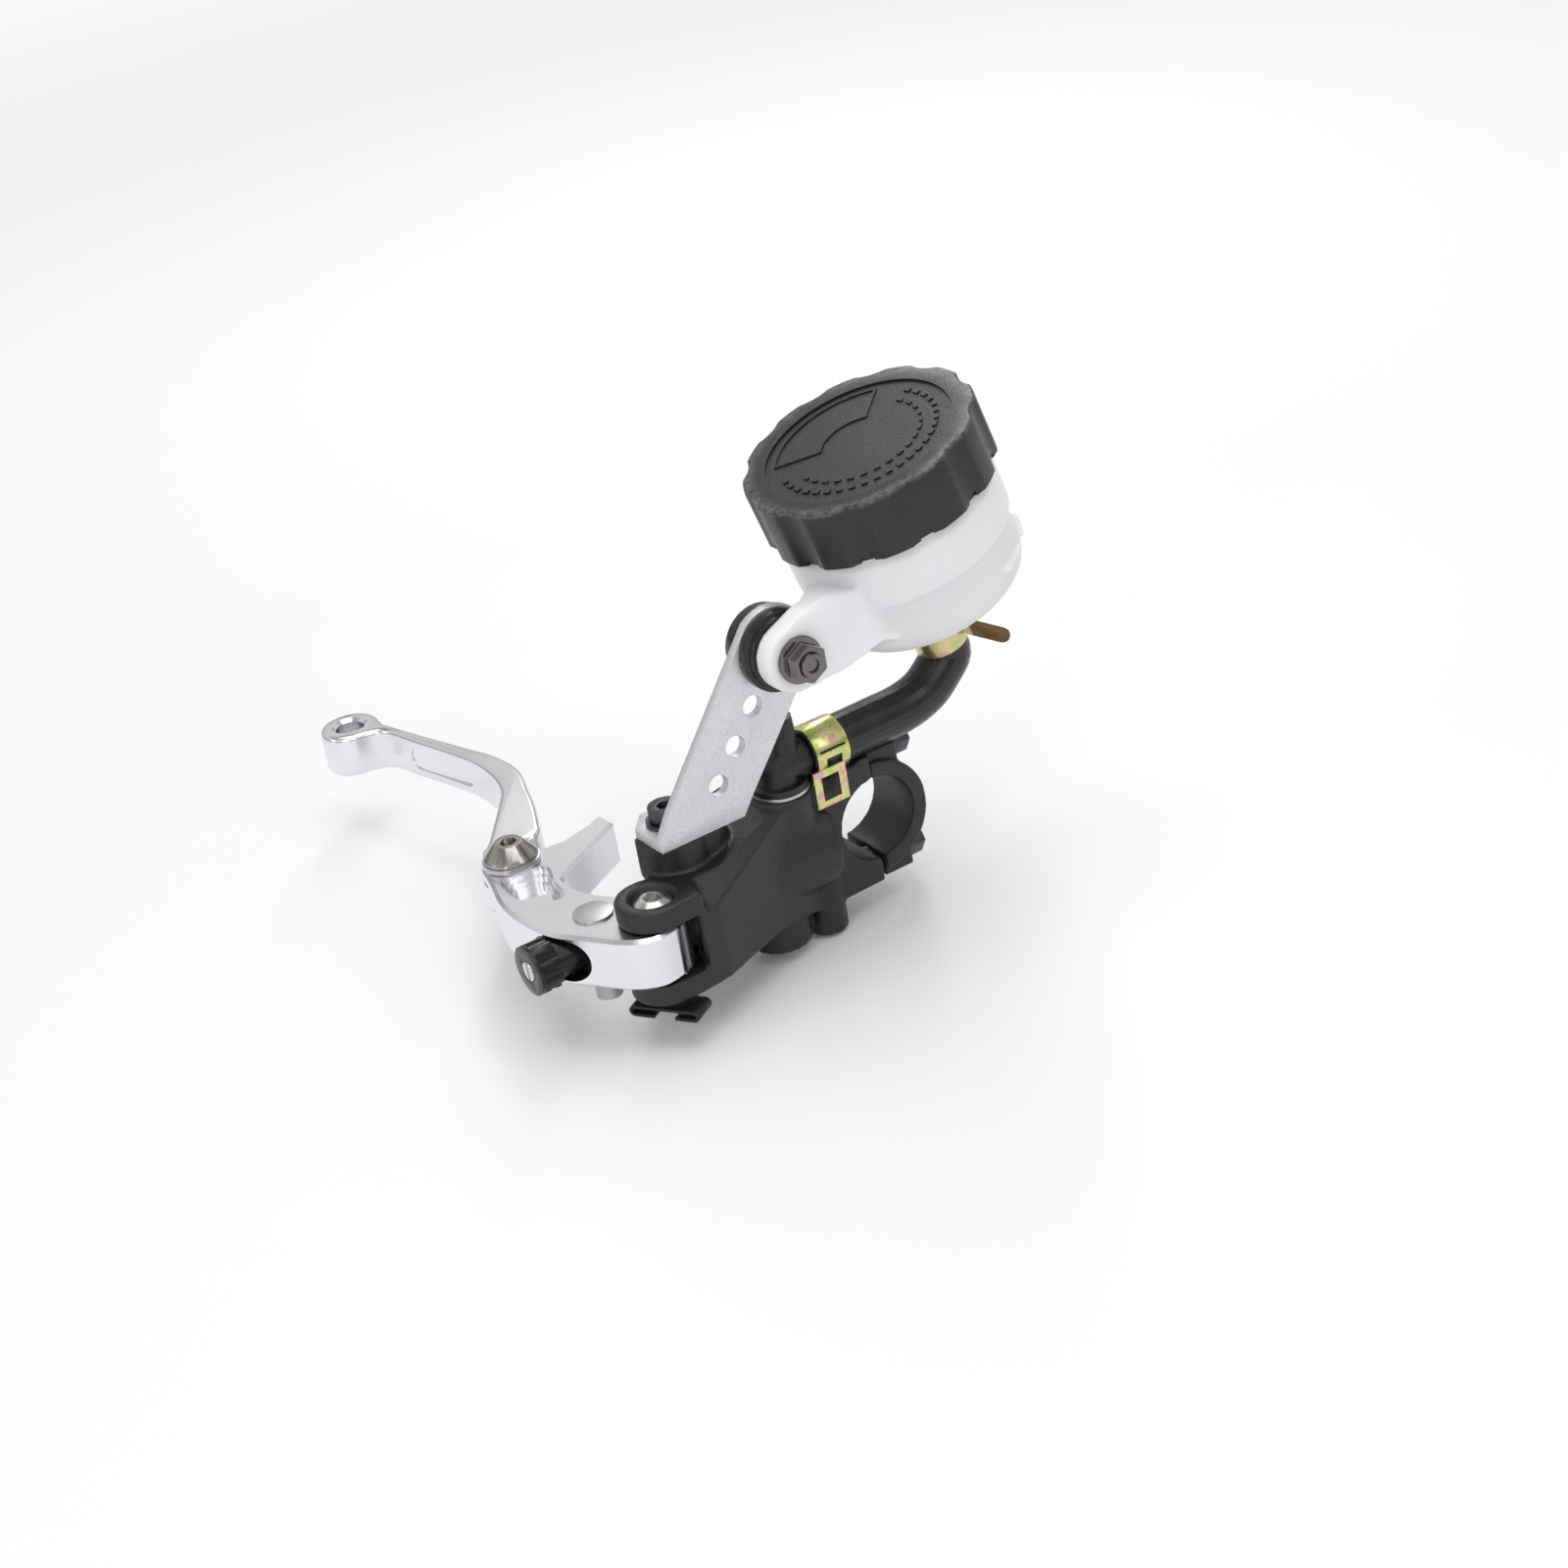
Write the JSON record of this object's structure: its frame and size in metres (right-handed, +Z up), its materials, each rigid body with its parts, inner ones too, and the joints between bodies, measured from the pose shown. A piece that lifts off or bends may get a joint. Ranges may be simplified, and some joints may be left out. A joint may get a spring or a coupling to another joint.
{
  "type": "motorcycle front brake master cylinder",
  "caption": "Radial front brake master cylinder with a split handlebar clamp, folding lever, fluted reach adjuster and a remote fluid reservoir on a bracket.",
  "frame": {"origin": "middle of the handlebar clamp's bore", "axes": "+X along the handlebar towards the grip, +Y forward from the bar to the lever, +Z up along the lever's pivot"},
  "size_m": [0.1904, 0.1512, 0.131],
  "materials": {
    "cast_black": "satin black coating over a lightly grained casting",
    "lever_aluminium": "machined and clear anodised",
    "black_anodised": "black anodised",
    "plate_silver": "bead blasted",
    "stainless": "turned stainless steel",
    "steel": "plain",
    "dark_steel": "blackened",
    "dark_chrome": "dark chrome plated",
    "spring_black": "blackened spring strip",
    "zinc_yellow": "iridescent yellow zinc plating",
    "bronze": "machined",
    "rubber": "smooth moulded rubber",
    "black_plastic": "moulded",
    "white_plastic": "milky translucent, moulded",
    "ivory_plastic": "moulded"
  },
  "bodies": {
    "cylinder": {"body": "cast_black", "clamp_cap": "cast_black", "clamp_bolt_upper": "dark_steel", "clamp_bolt_lower": "dark_steel", "clamp_washer_upper": "steel", "clamp_washer_lower": "steel", "pivot_bolt": "stainless", "pivot_nut": "steel", "pivot_clip": "spring_black", "dust_boot": "rubber", "return_spring": "steel", "stop_washer": "steel", "piston_circlip": "dark_steel", "inlet_elbow": "black_plastic", "inlet_o_ring": "rubber", "inlet_circlip": "steel", "feed_hose": "rubber", "hose_clamp_lower": "zinc_yellow", "hose_clamp_upper": "zinc_yellow", "bracket": "plate_silver", "bracket_bolt": "dark_steel", "bracket_washer": "dark_steel", "grommet": "rubber", "grommet_sleeve": "steel", "reservoir_bolt": "dark_chrome", "reservoir_nut": "dark_chrome", "reservoir_bottle": "white_plastic", "diaphragm": "rubber"},
    "lever": {"lever_base": "lever_aluminium", "pivot_bush": "bronze", "fold_screw": "stainless", "fold_washer": "steel", "fold_nut": "steel", "detent_ball": "steel", "detent_spring": "steel"},
    "blade": {"lever_blade": "lever_aluminium"},
    "rod": {"trunnion": "steel", "push_rod": "steel", "adjuster_barrel": "black_anodised"},
    "knob": {"adjuster_knob": "black_anodised", "adjuster_screw": "stainless", "knob_set_screw": "dark_steel"},
    "piston": {"piston": "bronze", "primary_cup": "rubber", "secondary_seal": "rubber"},
    "plate": {"diaphragm_plate": "ivory_plastic"},
    "cap": {"reservoir_cap": "black_plastic"}
  },
  "joints": [
    {"name": "lever_pull", "type": "hinge", "parent": "cylinder", "child": "lever", "pos_m": [-0.0173, 0.0712, 0], "axis": [0, 0, -1], "range_deg": [0, 18], "stiffness_Nm_per_rad": 0.8, "springref_deg": -8.59},
    {"name": "rod_swing", "type": "hinge", "parent": "lever", "child": "rod", "pos_m": [-0.0039, 0.0807, 0], "axis": [0, 0, -1], "range_deg": [-14.5, 0]},
    {"name": "piston_stroke", "type": "slide", "parent": "cylinder", "child": "piston", "axis": [0, -1, 0], "range_m": [0, 0.0048], "deforming": ["return_spring", "dust_boot"]},
    {"name": "adjuster_turn", "type": "hinge", "parent": "rod", "child": "knob", "pos_m": [-0.0039, 0.0971, 0], "axis": [0, 1, 0], "continuous": true},
    {"name": "blade_fold", "type": "hinge", "parent": "lever", "child": "blade", "pos_m": [0.0352, 0.0811, 0], "axis": [0, 0, 1], "range_deg": [0, 75], "stiffness_Nm_per_rad": 0.15, "springref_deg": -11.46},
    {"name": "cap_lift", "type": "slide", "parent": "cylinder", "child": "plate", "axis": [0, 0.284, 0.9588], "range_m": [0, 0.006]},
    {"name": "cap_turn", "type": "hinge", "parent": "plate", "child": "cap", "pos_m": [-0.0061, -0.0129, 0.0975], "axis": [0, 0.284, 0.9588], "range_deg": [0, 540]}
  ],
  "couplings": [
    {"joint": "rod_swing", "follows": "lever_pull", "ratio": -0.76},
    {"joint": "piston_stroke", "follows": "lever_pull", "m_per_rad": 0.01465},
    {"joint": "cap_turn", "follows": "cap_lift", "rad_per_m": 1570}
  ]
}
